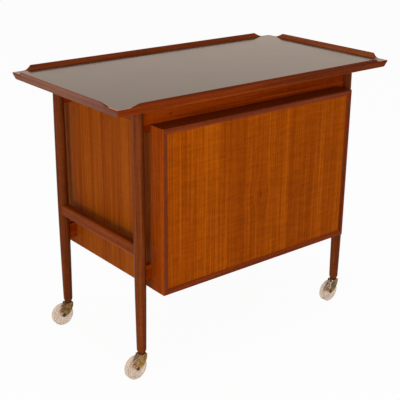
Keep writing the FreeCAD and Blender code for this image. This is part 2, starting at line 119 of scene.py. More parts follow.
# each part of the grain is a noise with its own detail, roughness and bend, and the stops are
# places between its 0 and 1. The sheen goes this much up and down, and pores are hollow by mm
grainNoise = {"figure": (3, 0.55, 0.4), "lines": (2, 0.6, 0.0), "bands": (1, 0.5, 0.0),
              "pores": (2, 0.5, 0.0), "ripple": (1, 0.5, 0.0)}
grainLook = {"toneStops": (0.28, 0.5, 0.72), "poreStops": (0.36, 0.48), "rippleStops": (0.3, 0.7),
             "rougher": 0.08, "smoother": 0.06, "relief": 0.25, "hollow": 0.06}


# wood sawn or sliced along its grain: long streaks, short dark pores and a faint ripple across.
# the tone is figure + (lines - 0.5) * fine + (bands - 0.5) * drift, on a ramp of three colours
def wood(name, tones, grain, offset, knot=None):
    material, tree = newMaterial(name)
    coordinate = addNode(tree, "ShaderNodeTexCoord").outputs["Object"]
    if knot:
        coordinate, heart = bentRoundKnot(tree, coordinate, knot)
    turned = addNode(tree, "ShaderNodeMapping", {
        "Vector": coordinate, "Rotation": grainTurn[grain], "Location": offset}).outputs["Vector"]

    def stretched(part):
        across, along = tones[part]
        detail, roughness, bend = grainNoise[part]
        scale = (1 / (across * mm), 1 / (across * mm), 1 / (along * mm))
        spot = addNode(tree, "ShaderNodeVectorMath", {0: turned, 1: scale}, operation="MULTIPLY")
        return addNode(tree, "ShaderNodeTexNoise", {
            "Vector": spot.outputs[0], "Scale": 1.0, "Detail": detail, "Roughness": roughness,
            "Distortion": bend}).outputs["Fac"]

    def blend(base, other, weight):
        centred = addNode(tree, "ShaderNodeMath", {0: other, 1: 0.5}, operation="SUBTRACT").outputs[0]
        return addNode(tree, "ShaderNodeMath", {0: centred, 1: weight, 2: base},
                       operation="MULTIPLY_ADD").outputs[0]

    lines = stretched("lines")
    value = blend(stretched("figure"), lines, tones["fine"])
    value = blend(value, stretched("bands"), tones["drift"])
    ramp = zip(grainLook["toneStops"], (tones["dark"], tones["mid"], tones["light"]))
    colour = addNode(tree, "ShaderNodeValToRGB", {"Fac": value}, stops=list(ramp)).outputs["Color"]
    poreStart, poreEnd = grainLook["poreStops"]
    dashes = addNode(tree, "ShaderNodeMapRange", {
        "Value": stretched("pores"), "From Min": poreStart, "From Max": poreEnd,
        "To Min": tones["poreDepth"], "To Max": 0.0}).outputs["Result"]
    colour = addNode(tree, "ShaderNodeMix", {0: dashes, 6: colour, 7: linear(tones["pore"])},
                     data_type="RGBA").outputs[2]
    rippleLow, rippleHigh = grainLook["rippleStops"]
    shades = [addNode(tree, "ShaderNodeMapRange", {
        "Value": stretched("ripple"), "From Min": rippleLow, "From Max": rippleHigh,
        "To Min": 1 - tones["rippleDepth"], "To Max": 1 + tones["rippleDepth"]})]
    # a painted falloff of light: the tone is scaled from one factor to another along x
    if "paintedFalloff" in tones:
        start, end, before, after = tones["paintedFalloff"]
        side = addNode(tree, "ShaderNodeSeparateXYZ", {"Vector": coordinate}).outputs["X"]
        shades.append(addNode(tree, "ShaderNodeMapRange", {
            "Value": side, "From Min": start * mm, "From Max": end * mm,
            "To Min": before, "To Max": after}))
    for shade in shades:
        colour = addNode(tree, "ShaderNodeVectorMath", {0: colour, "Scale": shade.outputs["Result"]},
                         operation="SCALE").outputs[0]
    if knot:
        colour = addNode(tree, "ShaderNodeMix", {0: heart, 6: colour, 7: linear(knot["colour"])},
                         data_type="RGBA").outputs[2]
    rough = addNode(tree, "ShaderNodeMapRange", {
        "Value": lines, "To Min": tones["roughness"] + grainLook["rougher"],
        "To Max": tones["roughness"] - grainLook["smoother"]}).outputs["Result"]
    bump = addNode(tree, "ShaderNodeBump", {
        "Height": dashes, "Strength": grainLook["relief"], "Distance": grainLook["hollow"] * mm},
        invert=True).outputs["Normal"]
    shader = addNode(tree, "ShaderNodeBsdfPrincipled", {
        "Base Color": colour, "Roughness": rough, "Normal": bump, "IOR": tones["ior"],
        "Specular IOR Level": tones["gloss"]})
    addNode(tree, "ShaderNodeOutputMaterial", {"Surface": shader.outputs[0]})
    return material


# a knot: d is the distance from its centre over its reach. The grain bows round the centre, since
# the across axes shrink by 1 - bend * exp(-d^2), and its heart is dark by depth * exp(-sharpness * d^2)
def bentRoundKnot(tree, coordinate, knot):
    centre = Vector(knot["at"]) * mm
    perReach = [1 / (size * mm) for size in knot["reach"]]
    straightAxes = [1 - axis for axis in knot["across"]]
    away = addNode(tree, "ShaderNodeVectorMath", {0: coordinate, 1: centre},
                   operation="SUBTRACT").outputs[0]
    scaled = addNode(tree, "ShaderNodeVectorMath", {0: away, 1: perReach},
                     operation="MULTIPLY").outputs[0]
    squared = addNode(tree, "ShaderNodeVectorMath", {0: scaled, 1: scaled},
                      operation="DOT_PRODUCT").outputs["Value"]

    def hump(sharpness):
        power = addNode(tree, "ShaderNodeMath", {0: squared, 1: -sharpness}, operation="MULTIPLY")
        return addNode(tree, "ShaderNodeMath", {0: power.outputs[0]}, operation="EXPONENT").outputs[0]

    shrink = addNode(tree, "ShaderNodeMath", {0: hump(1.0), 1: -knot["bend"], 2: 1.0},
                     operation="MULTIPLY_ADD").outputs[0]
    drawnIn = addNode(tree, "ShaderNodeVectorMath", {0: away, "Scale": shrink},
                      operation="SCALE").outputs[0]
    bent = addNode(tree, "ShaderNodeVectorMath", {0: drawnIn, 1: knot["across"]},
                   operation="MULTIPLY").outputs[0]
    straight = addNode(tree, "ShaderNodeVectorMath", {0: away, 1: straightAxes},
                       operation="MULTIPLY").outputs[0]
    both = addNode(tree, "ShaderNodeVectorMath", {0: bent, 1: straight}, operation="ADD").outputs[0]
    place = addNode(tree, "ShaderNodeVectorMath", {0: both, 1: centre}, operation="ADD").outputs[0]
    heart = addNode(tree, "ShaderNodeMath", {0: hump(knot["sharpness"]), 1: knot["depth"]},
                    operation="MULTIPLY").outputs[0]
    return place, heart


# melamine laminate, pressed smooth: almost black brown, and its gloss shows the pale studio at a
# low angle. Streaks are mm along x, y and z, and the sheen varies a little where it was handled
def pressedLaminate(name, settings):
    material, tree = newMaterial(name)
    coordinate = addNode(tree, "ShaderNodeTexCoord").outputs["Object"]
    perStreak = [1 / (size * mm) for size in settings["streak"]]
    spot = addNode(tree, "ShaderNodeVectorMath", {0: coordinate, 1: perStreak},
                   operation="MULTIPLY").outputs[0]
    streak = addNode(tree, "ShaderNodeTexNoise", {
        "Vector": spot, "Scale": 1.0, "Detail": 3}).outputs["Fac"]
    colour = addNode(tree, "ShaderNodeValToRGB", {"Fac": streak}, stops=[
        (0.3, settings["dark"]), (0.7, settings["light"])]).outputs["Color"]
    handled = addNode(tree, "ShaderNodeTexNoise", {
        "Vector": coordinate, "Scale": 1 / (settings["handled"] * mm), "Detail": 4}).outputs["Fac"]
    rough = addNode(tree, "ShaderNodeMapRange", {
        "Value": handled, "From Min": 0.3, "From Max": 0.7,
        "To Min": settings["roughness"] - settings["smoother"],
        "To Max": settings["roughness"] + settings["rougher"]}).outputs["Result"]
    shader = addNode(tree, "ShaderNodeBsdfPrincipled", {
        "Base Color": colour, "Roughness": rough, "IOR": settings["ior"],
        "Specular IOR Level": settings["gloss"]})
    addNode(tree, "ShaderNodeOutputMaterial", {"Surface": shader.outputs[0]})
    return material


# tarnish is this much rougher than bare metal, and its dents have a strength and a depth in mm
metalWear = {"rougher": 0.15, "dents": 0.2, "dentDepth": 0.1}


# sheet brass or steel, pressed and then dulled by age: blotches of tarnish, a few mm across
def dulledMetal(name, settings):
    material, tree = newMaterial(name)
    coordinate = addNode(tree, "ShaderNodeTexCoord").outputs["Object"]
    blotch = addNode(tree, "ShaderNodeTexNoise", {
        "Vector": coordinate, "Scale": 1 / (settings["blotch"] * mm), "Detail": 5,
        "Roughness": 0.6}).outputs["Fac"]
    colour = addNode(tree, "ShaderNodeValToRGB", {"Fac": blotch}, stops=[
        (0.35, settings["tarnish"]), (0.6, settings["metal"])]).outputs["Color"]
    rough = addNode(tree, "ShaderNodeMapRange", {
        "Value": blotch, "From Min": 0.35, "From Max": 0.65,
        "To Min": settings["roughness"] + metalWear["rougher"],
        "To Max": settings["roughness"]}).outputs["Result"]
    bump = addNode(tree, "ShaderNodeBump", {
        "Height": blotch, "Strength": metalWear["dents"],
        "Distance": metalWear["dentDepth"] * mm}).outputs["Normal"]
    shader = addNode(tree, "ShaderNodeBsdfPrincipled", {
        "Base Color": colour, "Metallic": settings["metallic"], "Roughness": rough, "Normal": bump})
    addNode(tree, "ShaderNodeOutputMaterial", {"Surface": shader.outputs[0]})
    return material


# clear plastic, moulded and gone milky with age: light enters it and comes out warm, and the
# tread's shoulders are amber. The attribute radius is each point's distance from the axle in mm,
# shoulder is the two radii round the amber, and ringStops say how it rises and falls between them
def agedPlastic(name, settings):
    material, tree = newMaterial(name)
    coordinate = addNode(tree, "ShaderNodeTexCoord").outputs["Object"]
    cloud = addNode(tree, "ShaderNodeTexNoise", {
        "Vector": coordinate, "Scale": 1 / (settings["cloud"] * mm), "Detail": 3}).outputs["Fac"]
    colour = addNode(tree, "ShaderNodeValToRGB", {"Fac": cloud}, stops=[
        (0.3, settings["warm"]), (0.7, settings["pale"])]).outputs["Color"]
    radius = addNode(tree, "ShaderNodeAttribute", attribute_name="radius").outputs["Fac"]
    inner, outer = settings["shoulder"]
    across = addNode(tree, "ShaderNodeMapRange", {
        "Value": radius, "From Min": inner, "From Max": outer}).outputs["Result"]
    ring = addNode(tree, "ShaderNodeValToRGB", {"Fac": across},
                   stops=settings["ringStops"]).outputs["Color"]
    colour = addNode(tree, "ShaderNodeMix", {0: ring, 6: colour, 7: linear(settings["amber"])},
                     data_type="RGBA").outputs[2]
    shader = addNode(tree, "ShaderNodeBsdfPrincipled", {
        "Base Color": colour, "Roughness": settings["roughness"], "IOR": settings["ior"],
        "Transmission Weight": settings["clear"], "Alpha": settings["cover"]})
    addNode(tree, "ShaderNodeOutputMaterial", {"Surface": shader.outputs[0]})
    return material


# mm within which points are one, degrees under which an edge is smooth or a face flat, the least
# cosine of a face that looks one way and of an edge that runs one way, and steps per rounding
meshing = {"merge": 0.002, "smooth": 32, "flat": 0.5, "facing": 0.96, "along": 0.98,
           "cornerSteps": 5, "bevelSteps": 2}


# the base material on every face, and each patch's material where its mask is true
def painted(mesh, material, patches):
    index = np.zeros(len(mesh.polygons), dtype=np.int32)
    mesh.materials.append(material)
    for number, (look, mask) in enumerate(patches, 1):
        mesh.materials.append(look)
        index[mask] = number
    mesh.polygons.foreach_set("material_index", index)


# smooths every face and keeps each edge sharp that bends by the angle or more
def smoothed(shape, sharpAngle):
    for face in shape.faces:
        face.smooth = True
    for edge in shape.edges:
        edge.smooth = len(edge.link_faces) == 2 and edge.calc_face_angle() < math.radians(sharpAngle)


# merges doubles, turns faces outwards and smooths
def cleaned(mesh):
    shape = bmesh.new()
    shape.from_mesh(mesh)
    bmesh.ops.remove_doubles(shape, verts=shape.verts, dist=meshing["merge"] * mm)
    bmesh.ops.dissolve_degenerate(shape, edges=shape.edges, dist=meshing["merge"] * mm)
    bmesh.ops.recalc_face_normals(shape, faces=shape.faces)
    smoothed(shape, meshing["smooth"])
    shape.to_mesh(mesh)
    shape.free()


# makes a grid of points a mesh: rows by columns by xyz, closed round its columns. Its rows are
# closed too as a ring, have caps at both ends, or are open because they end in a point.
# radius is one number per point, kept as an attribute; patches are further materials, each with
# a mask over the rows and columns of faces
def surfacePiece(name, grid, ends, material, body, radius=None, patches=()):
    rows, columns = grid.shape[:2]
    number = np.arange(rows * columns).reshape(rows, columns)
    across, upper = np.roll(number, -1, axis=1), np.roll(number, -1, axis=0)
    squares = np.stack([number, across, np.roll(upper, -1, axis=1), upper], axis=-1)
    faces = (squares if ends == "ring" else squares[:-1]).reshape(-1, 4).tolist()
    if ends == "caps":
        faces += [number[0].tolist()[::-1], number[-1].tolist()]
    mesh = bpy.data.meshes.new(name)
    mesh.from_pydata(grid.reshape(-1, 3).tolist(), [], faces)
    if radius is not None:
        mesh.attributes.new("radius", "FLOAT", "POINT").data.foreach_set("value", radius.ravel())
    piece = bpy.data.objects.new(name, mesh)
    masks = [(look, np.pad(mask.ravel(), (0, len(faces) - mask.size))) for look, mask in patches]
    painted(mesh, material, masks)
    cleaned(mesh)
    bpy.context.scene.collection.objects.link(piece)
    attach(piece, body)
    return piece


# rounds an outline's corners: each is a quadratic curve that leaves both its edges at the same
# distance, at most 0.45 of either. outline is (..., corners, 2), with one radius per corner
def roundedOutline(outline, radii, steps=meshing["cornerSteps"]):
    outline = np.asarray(outline, float)
    before = np.roll(outline, 1, axis=-2) - outline
    after = np.roll(outline, -1, axis=-2) - outline
    lengthBefore = np.linalg.norm(before, axis=-1, keepdims=True)
    lengthAfter = np.linalg.norm(after, axis=-1, keepdims=True)
    longest = 0.45 * np.minimum(lengthBefore, lengthAfter)
    reach = np.minimum(np.asarray(radii, float)[:, None], longest)
    first = outline + before / np.maximum(lengthBefore, 1e-9) * reach
    last = outline + after / np.maximum(lengthAfter, 1e-9) * reach
    t = np.linspace(0, 1, steps)[:, None]
    first, corner, last = first[..., None, :], outline[..., None, :], last[..., None, :]
    curve = (1 - t) ** 2 * first + 2 * t * (1 - t) * corner + t ** 2 * last
    return curve.reshape(*outline.shape[:-2], -1, 2)


# a surface of revolution about Z: every outline point (r, z) is carried round a full turn
def turnedGrid(outline, turns):
    angle = np.linspace(0, 2 * np.pi, turns, endpoint=False)
    r, z = np.asarray(outline, float).T[:, :, None]
    return np.stack([r * np.cos(angle), r * np.sin(angle), z + 0 * angle], axis=-1)


# every point of a grid, turned and shifted by the matrix
def moved(grid, matrix):
    rotation = np.array(matrix.to_3x3())
    return grid @ rotation.T + np.array(matrix.translation)


# one property of every vertex, edge or face of a mesh, as rows of an array
def readAll(items, name, width, kind=np.float32):
    values = np.empty(len(items) * width, kind)
    items.foreach_get(name, values)
    return values.reshape(-1, width)


# 1 for each sharp edge that runs along the axis, 0 for the others
def edgesAlong(mesh, axis):
    points = readAll(mesh.vertices, "co", 3)
    ends = readAll(mesh.edges, "vertices", 2, np.int32)
    sharp = readAll(mesh.edges, "use_edge_sharp", 1, bool)[:, 0]
    way = points[ends[:, 1]] - points[ends[:, 0]]
    share = np.abs(way[:, "XYZ".index(axis)])
    return ((share > meshing["along"] * np.linalg.norm(way, axis=1)) & sharp).astype(float)


# a CAD node's own shape with merged faces and edges eased by width in mm, for boards and plates.
# patches are further materials, each with the direction that its faces look in, and along keeps
# the easing to the edges that run along one axis
def easedCopy(node, material, body, width=0.5, sharpAngle=meshing["smooth"], along=None,
              patches=()):
    mesh = nodes[node].data.copy()
    mesh.name = node + "_eased"
    shape = bmesh.new()
    shape.from_mesh(mesh)
    bmesh.ops.remove_doubles(shape, verts=shape.verts, dist=meshing["merge"] * mm)
    bmesh.ops.dissolve_limit(shape, angle_limit=math.radians(meshing["flat"]), verts=shape.verts,
                             edges=shape.edges)
    smoothed(shape, sharpAngle)
    shape.to_mesh(mesh)
    shape.free()
    piece = bpy.data.objects.new(node + "_eased", mesh)
    bpy.context.scene.collection.objects.link(piece)
    mesh.materials.clear()
    normals = readAll(mesh.polygons, "normal", 3)
    painted(mesh, material, [(look, normals @ np.array(way) / math.hypot(*way) > meshing["facing"])
                             for look, way in patches])
    bevel = piece.modifiers.new("eased", "BEVEL")
    bevel.width = width * mm
    bevel.segments = meshing["bevelSteps"]
    if along:
        bevel.limit_method = "WEIGHT"
        weights = mesh.attributes.new("bevel_weight_edge", "FLOAT", "EDGE")
        weights.data.foreach_set("value", edgesAlong(mesh, along))
    else:
        bevel.limit_method = "ANGLE"
        bevel.angle_limit = math.radians(sharpAngle)
    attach(piece, body)
    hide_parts(node)
    return piece


# another material on a CAD node's own mesh
def repaint(node, material):
    for slot in nodes[node].material_slots:
        slot.material = material


# all in mm, the lean in degrees
tray = {"length": 822, "depth": 440, "tip": 666.5,    # over the corner tips, and their height
        "rise": 9.5, "lean": 37, "edge": 1.6, "edgeRound": 0.9, "edgeBand": 2.2,    # the lip
        "flat": 25, "run": 28, "nose": 7,    # the scoop from a tip: level, then an arc and a nose
        "drop": 20, "band": 3, "lowEdge": 16.6, "lowInset": 5, "underInset": 9,    # under the tips
        "rim": 5, "bed": 15, "ledge": 22, "coreTop": 664.7, "core": 652.7,    # round the core board
        "laminateTop": 666.4, "rimRise": 0.8,    # below this over the tips the edge is rim
        "mitreGap": 0.04, "mitreRun": 8,    # outward points follow the mitre this near a tip
        "flatSteps": 5, "scoopSteps": 33, "middleSteps": 12}


# how high the lip stands at a distance from the corner tip: level, then a hollow arc, then a small
# round nose. Both arcs are circles, radius - sqrt(radius^2 - distance^2), and meet without a corner
def lipHeight(distance):
    rise, run, nose = tray["rise"], tray["run"], tray["nose"]
    hollow = (rise ** 2 + run ** 2) / (2 * rise) - nose
    join = hollow * math.sin(2 * math.atan(rise / run))
    q = np.clip(distance - tray["flat"], 0, run)
    low = hollow - np.sqrt(hollow ** 2 - np.minimum(q, join) ** 2)
    high = rise - nose + np.sqrt(np.maximum(nose ** 2 - (run - q) ** 2, 0))
    return np.where(q <= join, low, high)


# one mitred board: a section that leans outwards, carried along the side, with its lip cut down by
# lipHeight. Under the lip the face drops straight for a short band and leans in to the low edge.
# At the two ends each point goes as far as its own distance outwards, which is the mitre
def trayBoard(halfLength, halfDepth):
    scoopEnd = tray["flat"] + tray["run"]
    near = np.concatenate([np.linspace(0, tray["flat"], tray["flatSteps"])[:-1],
                           np.linspace(tray["flat"], scoopEnd, tray["scoopSteps"])])
    side = halfLength - near
    middle = np.linspace(-side[-1], side[-1], tray["middleSteps"])[1:-1]
    stations = np.concatenate([-side, middle, side[::-1]])
    h = lipHeight(halfLength - np.abs(stations))
    slope = math.tan(math.radians(tray["lean"]))
    edge = tray["rim"] - h / tray["rise"] * (tray["rim"] - tray["edge"])
    bedEnd = -tray["rim"] - tray["bed"]
    under = tray["tip"] - tray["drop"]
    points = [    # outwards from the tips, height, rounding
        (-tray["lowInset"] - tray["underInset"], under, 3),
        (-tray["lowInset"], tray["tip"] - tray["lowEdge"], 1.5),
        (0, tray["tip"] - tray["band"], 1),
        (np.maximum(h - tray["edgeBand"], 0) * slope, tray["tip"] + h - tray["edgeBand"], 0.3),
        (h * slope, tray["tip"] + h, tray["edgeRound"]),
        (h * slope - edge, tray["tip"] + h, tray["edgeRound"]),
        (-tray["rim"], tray["tip"], 0.5),
        (-tray["rim"], tray["coreTop"], 0.1),
        (bedEnd, tray["coreTop"], 0.1),
        (bedEnd, tray["core"], 0.1),
        (bedEnd - tray["ledge"], tray["core"], 0.3),
        (bedEnd - tray["ledge"], under, 0.8)]
    section = np.stack([np.column_stack(np.broadcast_arrays(out, z, h)[:2]) for out, z, _ in points],
                       axis=1)
    outline = roundedOutline(section, [rounding for *_, rounding in points])
    out, z = outline[..., 0], outline[..., 1]
    s = (stations / halfLength)[:, None]
    nearTip = np.clip(1 + (np.abs(stations) - halfLength) / tray["mitreRun"], 0, 1)[:, None]
    x = s * (halfLength - tray["mitreGap"] + np.minimum(out, 0))
    x = x + np.sign(s) * nearTip * np.maximum(out, 0)
    return np.stack([x, -halfDepth - out, z], axis=-1) * mm


# each board faces its own way in the photo's light, so each has its own tones, and a place of its
# own in the wood's pattern, as every wood's last three numbers give
# the front board darkens towards the right, which is painted shade of the light falling off
boardTones = {"front": dict(teakSolid, dark="#5c2002", mid="#752b04", light="#883909", gloss=0.06,
                            paintedFalloff=(-130, 190, 1.12, 0.7)),
              "rear": teakSolid,
              "left": dict(teakSolid, dark="#5a270e", mid="#6d3516", light="#7e4420", gloss=0.19,
                           ior=1.35),
              "right": dict(teakSolid, dark="#6e3010", mid="#84401a", light="#955026")}
boardPlace = {"front": (0.13, 0.41, 0.2), "rear": (0.71, 0.05, 0.6), "left": (0.33, 0.87, 0.4),
              "right": (0.93, 0.37, 0.1)}
boardTurn = {"front": 0, "rear": 180, "right": 90, "left": -90}
teakTopEdge = dict(teakSolid, dark="#541a00", mid="#6c2502", light="#803306", gloss=0.1)
teakRimHighlight = dict(teakSolid, dark="#7a3410", mid="#94481e", light="#a8582c", gloss=0.7, ior=1.5,
               roughness=0.3)    # smoother where the lip is cut down, and its lighter tones are a painted highlight there
edgeFirst = 3 * meshing["cornerSteps"] + 2    # from these columns of trayBoard's outline, under
rimFirst = 4 * meshing["cornerSteps"] + 2     # the top edge and on it,
edgeEnd = 6 * meshing["cornerSteps"] - 1      # to this one at its inner rounding
for side, turn in boardTurn.items():
    half = (tray["length"] / 2, tray["depth"] / 2)
    grain = "Y" if side in ("left", "right") else "X"
    grid = trayBoard(*(half[::-1] if grain == "Y" else half))
    grid = moved(grid, Matrix.Rotation(math.radians(turn), 4, "Z"))
    finish = wood("teakTrayRail_" + side, boardTones[side], grain, boardPlace[side])
    edge = wood("teakTopEdge_" + side, teakTopEdge, grain, boardPlace[side])
    rim = wood("teakRimPaintedHighlight_" + side, teakRimHighlight, grain, boardPlace[side])
    column = np.arange(grid.shape[1])
    onEdge = np.tile((column >= edgeFirst) & (column < edgeEnd), (grid.shape[0] - 1, 1))
    # the rim's patch, lighter as a painted highlight, is where the lip is cut down low over the tips
    low = grid[:-1, rimFirst, 2:] < (tray["tip"] + tray["rimRise"]) * mm
    onRim = low & (column >= rimFirst) & (column < edgeEnd)
    rail = surfacePiece("tray_board_" + side, grid, "caps", finish, "trolley_frame",
                        patches=[(edge, onEdge), (rim, onRim)])
    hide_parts("tray_rail_" + side)

laminate = pressedLaminate("melamineLaminatePressed", {
    "dark": "#2b180b", "light": "#382110", "streak": (160, 3, 3), "handled": 70,
    "roughness": 0.13, "smoother": 0.02, "rougher": 0.03, "gloss": 0.5, "ior": 1.37})
(left, near, _), (right, far, _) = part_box("tray_laminate")
plan = np.array([(left, near), (right, near), (right, far), (left, far)])
levels = np.array([tray["coreTop"], tray["laminateTop"]]) * mm
slab = np.stack([np.column_stack([plan, np.full(4, level)]) for level in levels])
sheet = surfacePiece("laminate_sheet", slab, "caps", laminate, "trolley_frame")
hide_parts("tray_laminate")
repaint("tray_core", wood("blockboardCore", paleBeech, "X", (0.2, 0.1, 0.3)))
print("tray done")


# mm: the legs' places, and radii with their heights from the foot to the top. swell is a power
leg = {"x": 324, "y": 165, "foot": 60.9, "neckTop": 62.7, "neck": 7.5, "shoulder": 11.4,
       "shoulderTop": 72.2, "belly": 13.8, "bellyLevel": 341, "top": 12, "topLevel": 652.7,
       "swell": 1.8, "shoulderSteps": 14, "shaftSteps": 60, "around": 56}


# radius of a leg: a neck, a quarter ellipse up to the shoulder, and power curves up to the belly
# and away from it: belly - (belly - end) * (share of the way to that end) ^ swell
def legOutline():
    neck = np.array([[0, leg["foot"]], [leg["neck"], leg["foot"]], [leg["neck"], leg["neckTop"]]])
    turn = np.linspace(0, np.pi / 2, leg["shoulderSteps"])[1:]
    shoulder = np.stack([leg["neck"] + (leg["shoulder"] - leg["neck"]) * np.sin(turn),
                         leg["shoulderTop"] - (leg["shoulderTop"] - leg["neckTop"]) * np.cos(turn)],
                        axis=-1)
    z = np.linspace(leg["shoulderTop"], leg["topLevel"], leg["shaftSteps"])[1:]
    below = (leg["bellyLevel"] - z) / (leg["bellyLevel"] - leg["shoulderTop"])
    above = (z - leg["bellyLevel"]) / (leg["topLevel"] - leg["bellyLevel"])
    r = np.where(z < leg["bellyLevel"],
                 leg["belly"] - (leg["belly"] - leg["shoulder"]) * np.maximum(below, 0) ** leg["swell"],
                 leg["belly"] - (leg["belly"] - leg["top"]) * np.maximum(above, 0) ** leg["swell"])
    shaft = np.stack([r, z], axis=-1)
    return np.concatenate([neck, shoulder, shaft, [[0, leg["topLevel"]]]])


# moves what is made round the origin to the middle of a leg
def legPlace(corner):
    x = leg["x"] if corner.endswith("right") else -leg["x"]
    y = leg["y"] if corner.startswith("rear") else -leg["y"]
    return Matrix.Translation((x * mm, y * mm, 0))


for number, corner in enumerate(corners):
    grid = moved(turnedGrid(legOutline(), leg["around"]) * mm, legPlace(corner))
    finish = wood("teakLegTurned_" + corner, teakLeg, "Z", (0.37 * number, 0.21 * number, 0.5 * number))
    piece = surfacePiece("turned_leg_" + corner, grid, "open", finish, "trolley_frame")
    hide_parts("leg_" + corner)

for number, side in enumerate(("left", "right")):
    bar = wood("teakStretcher_" + side, teakBar, "Y", (0.6 * number + 0.2, 0.3, 0.1))
    easedCopy("stretcher_" + side, bar, "trolley_frame", width=0.4)
    easedCopy("end_rail_" + side, bar, "trolley_frame", width=0.4)

# at and reach are in mm, and across marks the axes along which the grain bows out
smallKnot = {"at": (-237, -164, 620.5), "reach": (9, 12, 6), "bend": 0.7, "across": (0, 0, 1),
             "sharpness": 6, "depth": 0.75, "colour": "#3a0f04"}
for number, name in enumerate(("top_front", "low_front", "top_rear", "low_rear")):
    knot = smallKnot if name == "top_front" else None
    finish = wood("teakCrossRail_" + name, teakRed, "X", (0.15, 0.37 * number, 0.8 * number), knot)
    easedCopy("cross_rail_" + name, finish, "trolley_frame")
print("legs and rails done")


for number, side in enumerate(("left", "right")):
    finish = wood("teakVeneerSide_" + side, teakSide, "Z", (0.52 + number, 0.18, 0.3))
    easedCopy("side_panel_" + side, finish, "trolley_frame")
    finish = wood("beechRunner_" + side, paleBeech, "Y", (0.1, 0.3 * number, 0.7))
    easedCopy("runner_" + side, finish, "trolley_frame", width=0.3)
finish = wood("teakVeneerBack", teakSide, "Z", (0.9, 0.4, 0.2))
easedCopy("back_panel", finish, "trolley_frame")
finish = wood("teakVeneerBottom", teakSide, "X", (0.4, 0.8, 0.9))
easedCopy("bottom_panel", finish, "trolley_frame")
print("carcase done")


bigKnot = {"at": (-2, -210, 394.5), "reach": (26, 30, 34), "bend": 0.75, "across": (1, 0, 0),
           "sharpness": 26, "depth": 0.62, "colour": "#5a2206"}
finish = wood("teakVeneerFront", teakVeneer, "Z", (0.23, 0.61, 0.4), bigKnot)
easedCopy("drawer_front_panel", finish, "drawer", width=0.3)

# a lipping's splay looks forwards and in to the panel, and an upright's outer edge looks sideways. The
# left, top and bottom splays are painted in shade, and the right splay is painted lit
splayWay = {"top": (0, -3, -4), "bottom": (0, -3, 4), "left": (4, -3, 0), "right": (-4, -3, 0)}
edgeWay = {"left": (-1, 0, 0), "right": (1, 0, 0)}
lipping = {"ease": 1.0, "sharp": 12}    # mm, degrees
for number, side in enumerate(splayWay):
    grain = "Z" if side in edgeWay else "X"
    place = (0.45 * number, 0.27, 0.66 * number)
    finish = wood("teakLipping_" + side, teakLippingRed, grain, place)
    # the splay's painted light: shade on the left, top and bottom splays, lit on the right one
    splayLightTones = teakLippingPaintedLight if side == "right" else teakLippingPaintedShade
    patches = [(wood("teakLippingSplayPaintedLight_" + side, splayLightTones, grain, place), splayWay[side])]
    if side in edgeWay:
        edge = wood("teakLippingEdge_" + side, teakLipping, grain, place)
        patches.append((edge, edgeWay[side]))
    easedCopy("drawer_lip_" + side, finish, "drawer", lipping["ease"],
              lipping["sharp"], along=grain, patches=patches)
repaint("drawer_front_backing", wood("blockboardBacking", paleBeech, "X", (0.5, 0.2, 0.6)))

boxGrain = {"side_left": "Y", "side_right": "Y", "box_front": "X", "back": "X"}
for number, (name, grain) in enumerate(boxGrain.items()):
    finish = wood("beechDrawer_" + name, paleBeech, grain, (0.2, 0.43 * number, 0.31 * number))
    easedCopy("drawer_" + name, finish, "drawer")
finish = wood("beechPlywood", dict(paleBeech, figure=(30, 300)), "X", (0.6, 0.1, 0.2))
easedCopy("drawer_bottom", finish, "drawer", width=0.3)
steel = dulledMetal("steelScrewZinced", {"metal": "#b5b0a5", "tarnish": "#8a8478", "blotch": 4,
                                         "metallic": 1.0, "roughness": 0.35})
for name in ("top_screws", "runner_screws", "drawer_screws"):
    repaint(name, steel)
print("drawer done")


# turns in degrees; trail is how far the axle lies behind the pin; radii of the wheel's tread, band,
# hub and bore, with half widths of the band and the web, all in mm
caster = {"turns": {"front_left": 5, "front_right": 3, "rear_left": 0, "rear_right": 8},
          "trail": 19, "wheel": 28.5, "half": 8, "band": 22, "web": 4.5, "hub": 9, "bore": 5.55,
          "draft": 1, "forkOut": 10.0, "rivet": 4.2, "rivetHeight": 1.5, "shank": 2.5,
          "around": 96, "rivetAround": 40}
lighterBrass = {"metal": "#b48c4c", "tarnish": "#7d5b2a", "blotch": 9, "metallic": 0.85,
              "roughness": 0.38}
darkBrass = dict(lighterBrass, metal="#8e6c3c", tarnish="#553f20")    # darker brass on all but the front left
brass = {corner: dulledMetal("brassPressed_" + corner,
                             lighterBrass if corner == "front_left" else darkBrass)
         for corner in corners}
darkSteel = dulledMetal("steelRivetDulled", {"metal": "#4a4038", "tarnish": "#2c241e", "blotch": 3,
                                             "metallic": 0.9, "roughness": 0.4})
bushSteel = dulledMetal("steelBushBright", {"metal": "#d6cfc4", "tarnish": "#a39a8c", "blotch": 4,
                                            "metallic": 1.0, "roughness": 0.28})
plastic = agedPlastic("polystyreneMouldedAged", {
    "warm": "#b8906a", "pale": "#dfc2a0", "amber": "#8a5a34", "cloud": 14, "roughness": 0.28,
    "ior": 1.25, "clear": 0.55, "cover": 0.6, "shoulder": (26, 29),
    "ringStops": ((0.2, 0.0), (0.45, 1.0), (0.72, 1.0), (0.82, 0.0))})


# the wheel's section, mirrored about its middle: rounded tread, thick band, hollow web and hub,
# as radius, half width and rounding
def wheelOutline():
    points = [(caster["wheel"], caster["half"], 3.6), (caster["band"], caster["half"], 1.5),
              (caster["band"] - caster["draft"], caster["web"], 2.5),
              (caster["hub"] + caster["draft"], caster["web"], 2.5),
              (caster["hub"], caster["half"], 0.8), (caster["bore"], caster["half"], 0.3)]
    points += [(r, -y, rounding) for r, y, rounding in reversed(points)]
    section = np.array(points)
    return roundedOutline(section[:, :2], section[:, 2], 7)


